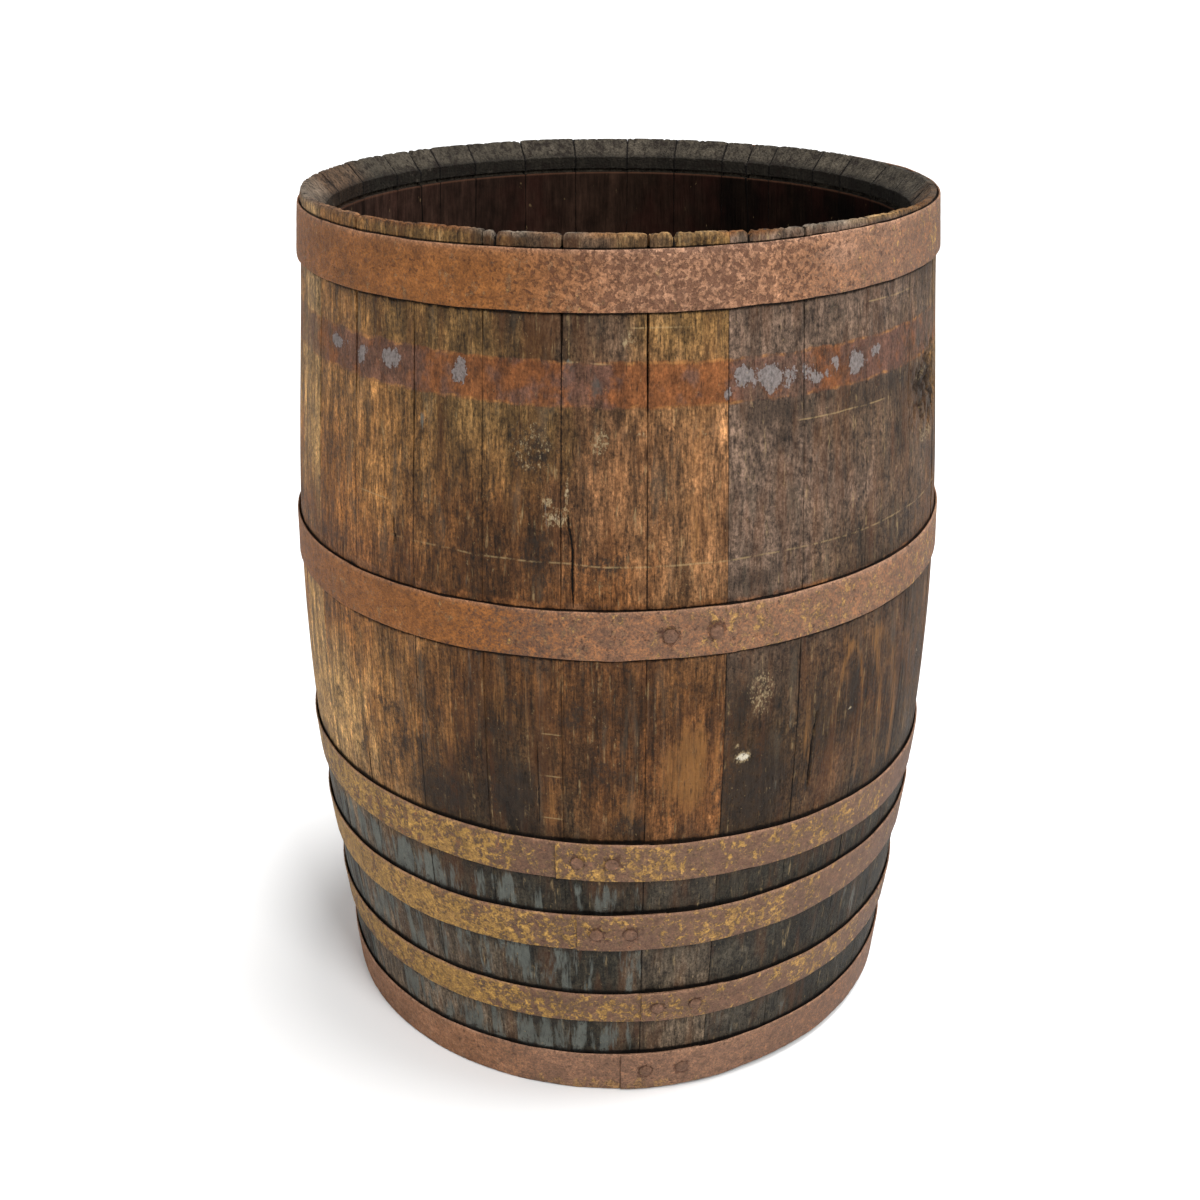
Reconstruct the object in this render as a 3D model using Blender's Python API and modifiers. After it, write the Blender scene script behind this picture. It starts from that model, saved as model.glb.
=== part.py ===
"""Oak wine barrel, standing upright and open at the top.

Staves held by six riveted hoops, a bottom head of dowelled boards in its croze, and a bung
that draws out of the bilge.

Frame: metres, origin at the middle of the base, +Z up, front towards -Y. An angle round the
barrel is in degrees from the front, positive towards +X.
"""
import math
from typing import NamedTuple

import bmesh
import bpy
from mathutils import Matrix, Vector

# The shell's outer face, from four radii
HEIGHT = 0.950
BILGE_RADIUS = 0.3658
QUARTER_RADIUS = 0.3543  # a quarter of the height from either end
TOP_RADIUS = 0.3362
BOTTOM_RADIUS = 0.3322
OUTER_STEPS = 10
INNER_STEPS = 6

# Stave section at either end: flat rim, chime bevel, howel band and croze
STAVE_THICKNESS = 0.027
RIM_WIDTH = 0.007
CHIME_HEIGHT = 0.020
BAND_DEPTH = 0.026  # from the outer face to the howel band
CROZE_START = 0.0345
CROZE_WIDTH = 0.0050
CROZE_DEPTH = 0.0200  # from the outer face to the bottom of the groove

# Edges of the staves round the barrel
STAVE_EDGES = (
    -59.5, -47, -33.5, -21, -8.5, 4.5, 17, 30, 43.5, 57, 71, 86, 101, 111.5, 123,
    131.5, 143.5, 155.5, 167, 178, 190, 202, 214.5, 224, 237, 249.5, 262, 275, 288,
)
STAVE_STEPS = 3
STAVE_GAP = 0.0003

# Hoops: flat bar bent round the staves, its ends lapped and riveted
HOOP_THICKNESS = 0.0020
HOOP_CLEARANCE = 0.0008
HOOP_STEP = 5.0
LAP_STEPS = 3
RAMP_STEPS = 2
LAYER_GAP = 0.0003


class Hoop(NamedTuple):
    low: float  # height of the lower edge
    high: float  # height of the upper edge
    low_off: float  # how far the lower edge stands off the staves, beyond the clearance
    high_off: float  # the same for the upper edge
    rise: float  # how much the side facing +X is raised
    lap_end: float  # angle of the bar's outer end
    winding: int  # the way the bar winds out to that end
    rivets: tuple  # angles from that end back to each rivet
    dome: float  # height of the rivets' heads


HOOPS = {
    "hoop_top_chime": Hoop(0.8881, 0.9430, 0.0016, 0.0000, 0.0052, 196.0, 1, (3.4, 10.2), 0.0040),
    "hoop_bilge": Hoop(0.5570, 0.6070, 0.0003, 0.0008, 0.0045, 18.3, 1, (3.3, 10.4), 0.0052),
    "hoop_quarter": Hoop(0.2992, 0.3467, 0.0003, 0.0010, -0.0058, -9.8, -1, (3.5, 9.1), 0.0020),
    "hoop_lower_quarter": Hoop(0.2061, 0.2544, 0.0003, 0.0010, 0.0075, -6.6, -1, (3.3, 9.0), 0.0026),
    "hoop_lower_neck": Hoop(0.1024, 0.1434, 0.0003, 0.0010, 0.0031, 4.6, -1, (2.9, 9.7), 0.0022),
    "hoop_bottom_chime": Hoop(0.0054, 0.0540, 0.0000, 0.0006, 0.0050, 1.0, -1, (4.6, 11.5), 0.0024),
}

# Rivets, each with its shank through both layers of a lap
RIVET_HEAD_RADIUS = 0.0070
RIVET_SHANK_RADIUS = 0.0032
RIVET_CLEARANCE = 0.0003
RIVET_SIDES = 12

# Bottom head: boards with a tongue that sits in the croze, joined by dowels
HEAD_RADIUS = 0.3114
HEAD_THICKNESS = 0.020
HEAD_TONGUE = 0.0044
HEAD_TONGUE_RADIUS = 0.3050
HEAD_BEVEL_RADIUS = 0.2850
HEAD_SEGMENTS = 72
HEAD_TURN = 24.0
BOARD_EDGES = (-0.3114, -0.214, -0.108, 0.002, 0.104, 0.207, 0.3114)
BOARD_GAP = 0.0003
DOWEL_RADIUS = 0.0045
DOWEL_LENGTH = 0.050
DOWEL_SIDES = 12

# Bung, a tapered plug in the widest part of one stave
BUNG_ANGLE = 184.0
BUNG_OUTER_RADIUS = 0.0270
BUNG_INNER_RADIUS = 0.0245
BUNG_PROUD = 0.004
BUNG_LENGTH = 0.036
BUNG_CHAMFER = 0.0015
BUNG_CLEARANCE = 0.0006
BUNG_SEGMENTS = 24

OAK = (0.155, 0.088, 0.048)
HEAD_OAK = (0.105, 0.060, 0.036)
PALE_OAK = (0.300, 0.200, 0.120)
RUST = (0.270, 0.110, 0.050)


def outer_radius(z):
    """Radius of the staves' outer face: a quartic through the four driving radii."""
    u = z / HEIGHT - 0.5
    end_drop = BILGE_RADIUS - (TOP_RADIUS + BOTTOM_RADIUS) / 2
    quarter_drop = BILGE_RADIUS - QUARTER_RADIUS
    square = (16 * quarter_drop - end_drop) / 0.75
    fourth = 4 * square - 16 * end_drop
    skew = 4 * (TOP_RADIUS - BOTTOM_RADIUS)
    return BILGE_RADIUS - square * u**2 + skew * u**3 + fourth * u**4


def on_barrel(radius, angle, z):
    """Point at a radius, an angle from the front and a height."""
    turn = math.radians(angle)
    return Vector((radius * math.sin(turn), -radius * math.cos(turn), z))


def material(name, colour, roughness, metallic=0.0):
    made = bpy.data.materials.new(name)
    made.use_nodes = True
    shader = made.node_tree.nodes["Principled BSDF"]
    shader.inputs["Base Color"].default_value = (*colour, 1.0)
    shader.inputs["Roughness"].default_value = roughness
    shader.inputs["Metallic"].default_value = metallic
    return made


def add_object(name, mesh, finish, collection):
    made = bpy.data.objects.new(name, mesh)
    collection.objects.link(made)
    if finish:
        if not mesh.materials:
            mesh.materials.append(finish)
    else:
        made.hide_render = True
        made.display_type = "WIRE"
    return made


def mesh_from(bm, name):
    """Finish a bmesh as a closed, outward-facing mesh with smooth rounds and sharp corners."""
    bmesh.ops.recalc_face_normals(bm, faces=bm.faces[:])
    mesh = bpy.data.meshes.new(name)
    bm.to_mesh(mesh)
    bm.free()
    mesh.shade_smooth()
    mesh.set_sharp_from_angle(angle=math.radians(30))
    return mesh


def turned_mesh(name, outline):
    """Profile of a turned piece: (radius, z) points down its outer side, from axis to axis."""
    bm = bmesh.new()
    points = [bm.verts.new((radius, 0, z)) for radius, z in outline]
    for upper, lower in zip(points, points[1:]):
        bm.edges.new((upper, lower))
    mesh = bpy.data.meshes.new(name)
    bm.to_mesh(mesh)
    bm.free()
    return mesh


def add_screw(target, segments):
    screw = target.modifiers.new("turn", "SCREW")
    screw.steps = segments
    screw.render_steps = segments
    screw.use_merge_vertices = True
    screw.merge_threshold = 0.0001
    screw.use_smooth_shade = True


def cut(target, cutter, operation="DIFFERENCE"):
    boolean = target.modifiers.new(cutter.name, "BOOLEAN")
    boolean.operation = operation
    boolean.object = cutter


def pose_outward(target, radius, angle, z, lean=0.0):
    """Put an object on the barrel with its own +Z pointing out, leaning up by an angle."""
    turn = Matrix.Rotation(math.radians(angle), 4, "Z")
    tip = Matrix.Rotation(math.pi / 2 - lean, 4, "X")
    target.matrix_world = Matrix.Translation(on_barrel(radius, angle, z)) @ turn @ tip


def end_section(radius, low):
    """Outline of a stave's end, from the outer face inwards; low says which end."""
    points = [
        (radius, 0.0),
        (radius - RIM_WIDTH, 0.0),
        (radius - BAND_DEPTH, CHIME_HEIGHT),
        (radius - BAND_DEPTH, CROZE_START),
        (radius - CROZE_DEPTH, CROZE_START),
        (radius - CROZE_DEPTH, CROZE_START + CROZE_WIDTH),
        (radius - STAVE_THICKNESS, CROZE_START + CROZE_WIDTH),
    ]
    if low:
        return points
    return [(r, HEIGHT - z) for r, z in points]


def stave_outline():
    """Closed (radius, z) section of a stave along its length."""
    outer = [HEIGHT * k / OUTER_STEPS for k in range(1, OUTER_STEPS)]
    start = CROZE_START + CROZE_WIDTH
    inner = [start + (HEIGHT - 2 * start) * k / INNER_STEPS for k in range(1, INNER_STEPS)]
    outline = [(outer_radius(z), z) for z in outer]
    outline += end_section(TOP_RADIUS, low=False)
    outline += [(outer_radius(z) - STAVE_THICKNESS, z) for z in reversed(inner)]
    outline += reversed(end_section(BOTTOM_RADIUS, low=True))
    return outline


def stave_mesh(name, outline, width):
    """Spin the section through the stave's width, less the gap at its joints."""
    inner = BOTTOM_RADIUS - STAVE_THICKNESS
    sweep = width - math.degrees(STAVE_GAP / inner)
    bm = bmesh.new()
    section = bm.faces.new([bm.verts.new(on_barrel(r, -sweep / 2, z)) for r, z in outline])
    bmesh.ops.spin(
        bm,
        geom=[section, *section.edges, *section.verts],
        cent=(0, 0, 0),
        axis=(0, 0, 1),
        angle=math.radians(sweep),
        steps=STAVE_STEPS,
    )
    return mesh_from(bm, name)


def add_staves(parts, oak):
    outline = stave_outline()
    ends = (*STAVE_EDGES[1:], STAVE_EDGES[0] + 360)
    staves = []
    for number, (start, end) in enumerate(zip(STAVE_EDGES, ends), start=1):
        name = f"stave_{number:02d}"
        if start < BUNG_ANGLE < end:
            name = "bung_stave"
        stave = add_object(name, stave_mesh(name, outline, end - start), oak, parts)
        stave.rotation_euler.z = math.radians((start + end) / 2)
        staves.append(stave)
    return staves


def hoop_radius(hoop, high, angle):
    """Radius of a hoop's inner face at its high or low edge, and that edge's height."""
    z = (hoop.high if high else hoop.low) + hoop.rise * math.sin(math.radians(angle))
    stand_off = hoop.high_off if high else hoop.low_off
    return outer_radius(z) + HOOP_CLEARANCE + stand_off, z


def hoop_mesh(name, hoop):
    """Bend a straight bar round the staves, the last steps of it lapped over the first."""
    turn_steps = round(360 / HOOP_STEP)
    steps = turn_steps + LAP_STEPS
    layer = HOOP_THICKNESS + LAYER_GAP
    bm = bmesh.new()
    bmesh.ops.create_cube(bm, size=1.0)
    long_edges = [e for e in bm.edges if abs(e.verts[0].co.x - e.verts[1].co.x) > 0.5]
    bmesh.ops.subdivide_edges(bm, edges=long_edges, cuts=steps - 1, use_grid_fill=True)
    for vert in bm.verts:
        step = round((vert.co.x + 0.5) * steps)
        angle = hoop.lap_end + hoop.winding * (step - steps) * HOOP_STEP
        radius, z = hoop_radius(hoop, vert.co.z > 0, angle)
        raised = min(max((step - turn_steps + RAMP_STEPS) / RAMP_STEPS, 0.0), 1.0)
        radius += layer * raised
        if vert.co.y > 0:
            radius += HOOP_THICKNESS
        vert.co = on_barrel(radius, angle, z)
    return mesh_from(bm, name)


def rivet_outline(dome):
    """Domed head above z = 0 and a shank below it, long enough for both layers."""
    arc = [math.radians(90 - 30 * k) for k in range(3)]
    head = [(RIVET_HEAD_RADIUS * math.cos(a), dome * math.sin(a)) for a in arc]
    reach = 2 * HOOP_THICKNESS + LAYER_GAP + RIVET_CLEARANCE
    return [
        (0.0, dome),
        *head[1:],
        (RIVET_HEAD_RADIUS, 0.0),
        (RIVET_SHANK_RADIUS, 0.0),
        (RIVET_SHANK_RADIUS, -reach),
        (0.0, -reach),
    ]


def rivet_cutter(name, length, cutters):
    bm = bmesh.new()
    radius = RIVET_SHANK_RADIUS + RIVET_CLEARANCE
    bmesh.ops.create_cone(
        bm, cap_ends=True, segments=RIVET_SIDES, radius1=radius, radius2=radius, depth=length
    )
    return add_object(name, mesh_from(bm, name), None, cutters)


def add_hoops(parts, cutters, rust, rivet_finish):
    for name, hoop in HOOPS.items():
        strip = add_object(name, hoop_mesh(name, hoop), rust, parts)
        for number, back in enumerate(hoop.rivets, start=1):
            angle = hoop.lap_end - hoop.winding * back
            low_r, low_z = hoop_radius(hoop, False, angle)
            high_r, high_z = hoop_radius(hoop, True, angle)
            lean = math.atan2(low_r - high_r, high_z - low_z)
            layers = 2 * HOOP_THICKNESS + LAYER_GAP + RIVET_CLEARANCE
            place = ((low_r + high_r) / 2 + layers, angle, (low_z + high_z) / 2, lean)
            rivet_name = f"rivet_{name.removeprefix('hoop_')}_{number}"
            cutter = rivet_cutter(f"cut_{rivet_name}", 6 * HOOP_THICKNESS, cutters)
            pose_outward(cutter, *place)
            cut(strip, cutter)
            outline = turned_mesh(rivet_name, rivet_outline(hoop.dome))
            rivet = add_object(rivet_name, outline, rivet_finish, parts)
            add_screw(rivet, RIVET_SIDES)
            pose_outward(rivet, *place)


def head_outline():
    """Half section of the head, down its outer side."""
    half = HEAD_THICKNESS / 2
    tongue = HEAD_TONGUE / 2
    upper = [(0.0, half), (HEAD_BEVEL_RADIUS, half), (HEAD_TONGUE_RADIUS, tongue)]
    rim = [(HEAD_RADIUS, tongue), (HEAD_RADIUS, -tongue)]
    return upper + rim + [(r, -z) for r, z in reversed(upper)]


def add_head(parts, cutters, oak, dowel_oak):
    """Boards cut side by side from one turned disc, with a dowel across each joint."""
    z = CROZE_START + CROZE_WIDTH / 2
    pivot = bpy.data.objects.new("bottom_head", None)
    parts.objects.link(pivot)
    pivot.location.z = z
    pivot.rotation_euler.z = math.radians(HEAD_TURN)
    disc = turned_mesh("head_disc", head_outline())
    boards = []
    for number, (left, right) in enumerate(zip(BOARD_EDGES, BOARD_EDGES[1:]), start=1):
        board = add_object(f"head_board_{number}", disc, oak, parts)
        board.parent = pivot
        add_screw(board, HEAD_SEGMENTS)
        bm = bmesh.new()
        bmesh.ops.create_cube(bm, size=1.0)
        size = (right - left - BOARD_GAP, 3 * HEAD_RADIUS, 2 * HEAD_THICKNESS)
        bmesh.ops.scale(bm, vec=size, verts=bm.verts)
        keep = add_object(f"keep_board_{number}", mesh_from(bm, "keep_board"), None, cutters)
        keep.parent = pivot
        keep.location.x = (left + right) / 2
        cut(board, keep, "INTERSECT")
        boards.append(board)
    for number, joint in enumerate(BOARD_EDGES[1:-1], start=1):
        dowel = add_peg(f"head_dowel_{number}", 0.0, dowel_oak, parts, pivot, joint)
        hole = add_peg(f"cut_{dowel.name}", BOARD_GAP, None, cutters, pivot, joint)
        for board in boards[number - 1:number + 1]:
            cut(board, hole)


def add_peg(name, clearance, finish, collection, pivot, x):
    """A dowel across a joint of the head, or with a clearance, the cutter of its hole."""
    bm = bmesh.new()
    radius = DOWEL_RADIUS + clearance
    bmesh.ops.create_cone(
        bm,
        cap_ends=True,
        segments=DOWEL_SIDES,
        radius1=radius,
        radius2=radius,
        depth=DOWEL_LENGTH + 2 * clearance,
    )
    peg = add_object(name, mesh_from(bm, name), finish, collection)
    peg.parent = pivot
    peg.location.x = x
    peg.rotation_euler.y = math.pi / 2
    return peg


def bung_outline(clearance=0.0, spare=0.0):
    """Tapered plug whose outer end stands proud of z = 0; spare lengthens it as a cutter."""
    taper = (BUNG_OUTER_RADIUS - BUNG_INNER_RADIUS) / BUNG_LENGTH
    top = BUNG_PROUD + spare
    bottom = BUNG_PROUD - BUNG_LENGTH - spare
    wide = BUNG_OUTER_RADIUS + clearance + taper * spare
    narrow = BUNG_INNER_RADIUS + clearance - taper * spare
    edge = 0.0 if spare else BUNG_CHAMFER
    rim = [(wide - edge, top)]
    if edge:
        rim.append((wide, top - edge))
    return [(0.0, top), *rim, (narrow, bottom), (0.0, bottom)]


def add_bung(parts, cutters, staves, oak):
    z = HEIGHT / 2
    bung = add_object("bung", turned_mesh("bung", bung_outline()), oak, parts)
    outline = turned_mesh("cut_bung_hole", bung_outline(BUNG_CLEARANCE, BUNG_LENGTH))
    hole = add_object("cut_bung_hole", outline, None, cutters)
    for plug in (bung, hole):
        add_screw(plug, BUNG_SEGMENTS)
        pose_outward(plug, BILGE_RADIUS, BUNG_ANGLE, z)
    for stave in staves:
        if stave.name == "bung_stave":
            cut(stave, hole)


def main():
    for leftover in list(bpy.data.objects):
        bpy.data.objects.remove(leftover)
    parts = bpy.data.collections.new("oak_wine_barrel")
    cutters = bpy.data.collections.new("cutters")
    for collection in (parts, cutters):
        bpy.context.scene.collection.children.link(collection)
    oak = material("weathered_oak", OAK, 0.85)
    head_oak = material("head_oak", HEAD_OAK, 0.85)
    pale_oak = material("pale_oak", PALE_OAK, 0.75)
    rust = material("rusted_hoop_iron", RUST, 0.90, 0.25)
    rivet_rust = material("rusted_rivets", RUST, 0.85, 0.30)
    staves = add_staves(parts, oak)
    add_hoops(parts, cutters, rust, rivet_rust)
    add_head(parts, cutters, head_oak, pale_oak)
    add_bung(parts, cutters, staves, pale_oak)


main()
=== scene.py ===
"""Looks of the oak wine barrel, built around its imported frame.

Each stave, hoop and rivet gets a finely meshed twin of its CAD solid, with worn ends, open joints,
cracks and rust relief, and procedural oak or rust. The head, the dowels and the bung keep their CAD
shapes. Lengths are in metres. An angle round the barrel is in degrees from the front (-Y),
positive towards +X.
"""
import math
from typing import NamedTuple

import bpy
import numpy as np
from mathutils import Matrix, Vector
from mathutils.kdtree import KDTree


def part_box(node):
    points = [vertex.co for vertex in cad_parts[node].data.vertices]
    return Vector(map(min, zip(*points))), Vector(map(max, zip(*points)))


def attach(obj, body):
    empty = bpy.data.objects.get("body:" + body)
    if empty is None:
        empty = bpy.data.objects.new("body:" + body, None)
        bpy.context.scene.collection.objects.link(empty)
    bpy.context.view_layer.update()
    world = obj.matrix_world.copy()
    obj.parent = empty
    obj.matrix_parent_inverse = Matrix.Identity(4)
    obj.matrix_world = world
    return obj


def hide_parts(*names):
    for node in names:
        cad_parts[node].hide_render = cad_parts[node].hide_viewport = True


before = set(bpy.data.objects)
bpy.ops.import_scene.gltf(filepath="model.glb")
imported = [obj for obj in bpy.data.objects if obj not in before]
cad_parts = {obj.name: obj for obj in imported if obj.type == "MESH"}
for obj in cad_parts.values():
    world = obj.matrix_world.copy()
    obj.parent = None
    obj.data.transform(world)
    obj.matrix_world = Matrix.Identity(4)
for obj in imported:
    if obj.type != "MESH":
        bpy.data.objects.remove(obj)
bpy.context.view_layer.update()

# ---- dimensions, as in the CAD model
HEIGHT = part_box("stave_06")[1].z
BILGE_RADIUS = 0.3658
QUARTER_RADIUS = 0.3543
TOP_RADIUS = 0.3362
BOTTOM_RADIUS = 0.3322
STAVE_THICKNESS = 0.027
RIM_WIDTH = 0.007
CHIME_HEIGHT = 0.02
BAND_DEPTH = 0.026
CROZE_START = 0.0345
CROZE_WIDTH = 0.005
CROZE_DEPTH = 0.02

HOOP_THICKNESS = 0.002
HOOP_CLEARANCE = 0.0008
HOOP_STEP = 5.0
LAP_STEPS = 3
RAMP_STEPS = 2
LAYER_GAP = 0.0003


class Hoop(NamedTuple):
    low: float  # height of the lower edge
    high: float  # height of the upper edge
    low_off: float  # how far the lower edge stands off the staves, beyond the clearance
    high_off: float  # the same for the upper edge
    rise: float  # how much the side facing +X is raised
    lap_end: float  # angle of the bar's outer end
    winding: int  # the way the bar winds out to that end
    rivets: tuple  # angles from that end back to each rivet
    dome: float  # height of the rivets' heads


HOOPS = {
    "hoop_top_chime": Hoop(0.8881, 0.943, 0.0016, 0.0000, 0.0052, 196.0, 1, (3.4, 10.2), 0.004),
    "hoop_bilge": Hoop(0.557, 0.607, 0.0003, 0.0008, 0.0045, 18.3, 1, (3.3, 10.4), 0.0052),
    "hoop_quarter": Hoop(0.2992, 0.3467, 0.0003, 0.001, -0.0058, -9.8, -1, (3.5, 9.1), 0.002),
    "hoop_lower_quarter": Hoop(0.2061, 0.2544, 0.0003, 0.001, 0.0075, -6.6, -1, (3.3, 9.0), 0.0026),
    "hoop_lower_neck": Hoop(0.1024, 0.1434, 0.0003, 0.001, 0.0031, 4.6, -1, (2.9, 9.7), 0.0022),
    "hoop_bottom_chime": Hoop(0.0054, 0.054, 0.0000, 0.0006, 0.005, 1.0, -1, (4.6, 11.5), 0.0024),
}
RIVET_HEAD_RADIUS = 0.007
RIVET_SHANK_RADIUS = 0.0032
RIVET_CLEARANCE = 0.0003

# Heights of the rust band left by a lost hoop, of the rust line over the bilge hoop and of
# the line scribed above it
GHOST_LOW = 0.8015
GHOST_HIGH = 0.8435
BILGE_LINE_LOW = 0.605
BILGE_LINE_HIGH = 0.6135
SCRIBE_HEIGHT = 0.6525

# ---- colours, as seen in daylight
OAK_TONES = {
    "straw": (168, 130, 80),
    "khaki": (147, 116, 75),
    "honey": (148, 97, 48),
    "tan": (130, 91, 50),
    "chestnut": (125, 88, 56),
    "auburn": (106, 67, 35),
    "russet": (110, 76, 48),
    "olive": (105, 78, 44),
    "umber": (87, 56, 28),
    "bark": (69, 43, 21),
    "char": (58, 41, 24),
    "walnut": (75, 52, 33),
    "dusk": (94, 76, 63),
    "smoke": (79, 61, 46),
    "ash": (99, 84, 68),
    "flint": (63, 57, 48),
    "coal": (42, 38, 30),
    "silver": (109, 97, 84),
}
# Tones of staves weathered to a coarse grit; the others keep their long grain
GRITTY = ("walnut", "dusk", "smoke", "char", "flint", "coal")
# Stains on the oak
WARM_STAIN = (103, 62, 32)
GREY_STAIN = (92, 82, 68)
PALE_FIBRE = (164, 139, 98)
OCHRE_STAIN = (128, 88, 46)
SLATE_STAIN = (93, 96, 90)
# Mould, also used for painted shade along the hoops' edges
MOULD_AND_SHADE_STAIN = (42, 33, 26)
CHALK_STAIN = (158, 138, 104)
WHITE_SPLASH = (222, 212, 190)
PALE_END = (112, 102, 90)
WINE_STAIN = (66, 32, 26)
PORE = (34, 26, 21)
# Near black of open joints and cracks, also used for painted shadow along the hoops' edges
GAP_AND_SHADOW = (16, 12, 10)
# Rust on the oak and on the hoops
BAND_RUST = (116, 68, 36)
DULL_RUST = (94, 64, 52)
EDGE_RUST = (142, 98, 54)
FLAKE = (120, 113, 110)
# Pale bloom of the rust, also used for painted sheen and highlights on the hoops
BLOOM_AND_SHEEN = (172, 131, 105)
PURPLE_RUST = (115, 87, 71)
DARK_RUST = (95, 67, 50)
RED_RUST = (124, 76, 38)
ORANGE_RUST = (142, 90, 44)
PALE_OCHRE = (192, 148, 74)
DEEP_OCHRE = (149, 113, 62)
DRAB_OCHRE = (120, 96, 71)
PIT = (72, 42, 32)
# How far the raw noise of a node strays from its mean
NOISE_SPREAD = 0.22
# How strongly each material mirrors the light
OAK_SPECULAR = 0.15
INNER_SPECULAR = 0.05
BOARD_SPECULAR = 0.25
IRON_SPECULAR = 0.16
# How far noise shifts a joint's edge, and a mark's height
RAGGED_JOINT = 0.001
RAGGED_HEIGHT = 0.004
# Reach of the dirt and painted shadow under and over a hoop, above and below the bilge
UPPER_DIRT_AND_SHADOW = (0.0036, 0.0012)
LOWER_DIRT_AND_SHADOW = (0.0016, 0.004)

# Heights of the tones listed for each stave, from the neck down to the foot
TONE_HEIGHTS = (0.87, 0.775, 0.7, 0.63, 0.52, 0.45, 0.385, 0.28, 0.08)
STAVE_TONES = {
    "stave_29": "khaki straw straw auburn straw straw straw flint coal",
    "stave_01": "tan tan honey auburn honey straw straw ash ash",
    "stave_02": "olive tan tan auburn tan tan tan flint ash",
    "stave_03": "olive olive umber umber umber umber char coal ash",
    "stave_04": "char olive umber bark umber char char coal flint",
    "stave_05": "smoke russet russet auburn bark bark umber coal coal",
    "stave_06": "olive chestnut chestnut chestnut umber auburn auburn flint ash",
    "stave_07": "dusk dusk dusk dusk smoke char char coal flint",
    "stave_08": "dusk smoke dusk smoke walnut char walnut coal coal",
    "stave_09": "dusk smoke smoke smoke walnut bark char coal coal",
    "stave_10": "smoke smoke smoke walnut char char char coal coal",
}
# Joints where the colour changes sharply; across the others it drifts from stave to stave
SHARP_JOINTS = (-59.5, 17.0, 111.5, 202.0, 275.0)

# Marks on the staves: angle, height, half width in degrees, half height, strength
MOULD = (
    (-55.5, 0.438, 2.0, 0.01, 0.7), (-53.0, 0.48, 1.0, 0.012, 0.6), (-50.0, 0.535, 6.0, 0.012, 0.5),
    (-48.5, 0.385, 3.0, 0.016, 0.6), (-41.0, 0.395, 2.5, 0.03, 0.6), (-40.0, 0.46, 4.0, 0.012, 0.8),
    (-19.0, 0.47, 3.5, 0.014, 0.6), (-16.0, 0.5, 2.5, 0.012, 0.6), (-6.5, 0.492, 2.5, 0.018, 0.7),
    (-2.0, 0.43, 3.0, 0.016, 0.6), (2.0, 0.368, 4.0, 0.014, 0.7), (-38.0, 0.42, 3.0, 0.04, 0.7),
    (-33.6, 0.42, 1.2, 0.022, 1.0), (-30.0, 0.385, 7.0, 0.035, 0.8), (-17.0, 0.4, 6.0, 0.04, 0.8),
    (-13.0, 0.762, 5.0, 0.03, 0.7), (-12.0, 0.655, 3.5, 0.035, 0.6), (-3.0, 0.65, 5.0, 0.014, 0.6),
    (-12.0, 0.54, 4.0, 0.012, 0.5), (-1.0, 0.5, 5.0, 0.03, 0.4), (22.0, 0.4, 7.0, 0.06, 0.8),
    (19.0, 0.5, 3.0, 0.06, 0.6), (42.5, 0.475, 2.0, 0.032, 1.0), (35.0, 0.46, 3.0, 0.06, 0.6),
    (47.0, 0.79, 12.0, 0.018, 0.6), (24.0, 0.79, 7.0, 0.016, 0.6), (21.0, 0.63, 5.0, 0.012, 0.6),
    (64.0, 0.775, 7.0, 0.022, 0.9), (69.0, 0.745, 3.0, 0.016, 1.0),
)
CHALK = (
    (23.0, 0.508, 2.8, 0.03, 0.85), (20.3, 0.437, 1.8, 0.007, 1.3), (19.2, 0.449, 0.7, 0.003, 1.2),
    (-9.0, 0.697, 2.6, 0.01, 1.0), (-10.5, 0.712, 1.3, 0.006, 0.9), (-7.6, 0.72, 0.45, 0.022, 1.0),
    (-2.6, 0.77, 1.8, 0.022, 0.75), (-13.0, 0.76, 4.5, 0.03, 0.65), (1.5, 0.865, 1.6, 0.01, 0.9),
    (3.5, 0.777, 1.2, 0.005, 0.8), (13.0, 0.778, 2.2, 0.008, 0.6), (-49.0, 0.679, 1.2, 0.002, 1.0),
    (41.5, 0.455, 0.6, 0.003, 1.2), (66.0, 0.462, 1.0, 0.004, 1.0), (62.0, 0.35, 2.0, 0.004, 0.8),
    (63.0, 0.783, 5.0, 0.01, 0.7), (66.0, 0.715, 5.0, 0.012, 0.8),
)
FLAKES = (
    (-53.0, 0.827, 2.4, 0.007, 0.9), (-45.5, 0.823, 1.3, 0.01, 0.8), (-38.3, 0.826, 2.1, 0.011, 1.0),
    (-25.0, 0.828, 1.4, 0.013, 1.0), (16.8, 0.811, 0.7, 0.006, 1.0), (19.5, 0.827, 1.8, 0.01, 1.1),
    (24.3, 0.822, 1.8, 0.014, 1.1), (32.5, 0.816, 1.6, 0.008, 0.7), (36.0, 0.83, 1.2, 0.005, 0.7),
    (41.2, 0.822, 2.2, 0.013, 1.0), (46.0, 0.828, 1.2, 0.006, 0.8), (26.0, 0.822, 8.0, 0.012, 0.48),
    (37.0, 0.823, 4.0, 0.012, 0.4), (-47.0, 0.823, 6.0, 0.012, 0.28), (152.0, 0.824, 2.2, 0.01, 1.0),
    (205.0, 0.822, 1.8, 0.012, 1.0), (240.0, 0.826, 2.4, 0.009, 0.9),
)
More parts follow.
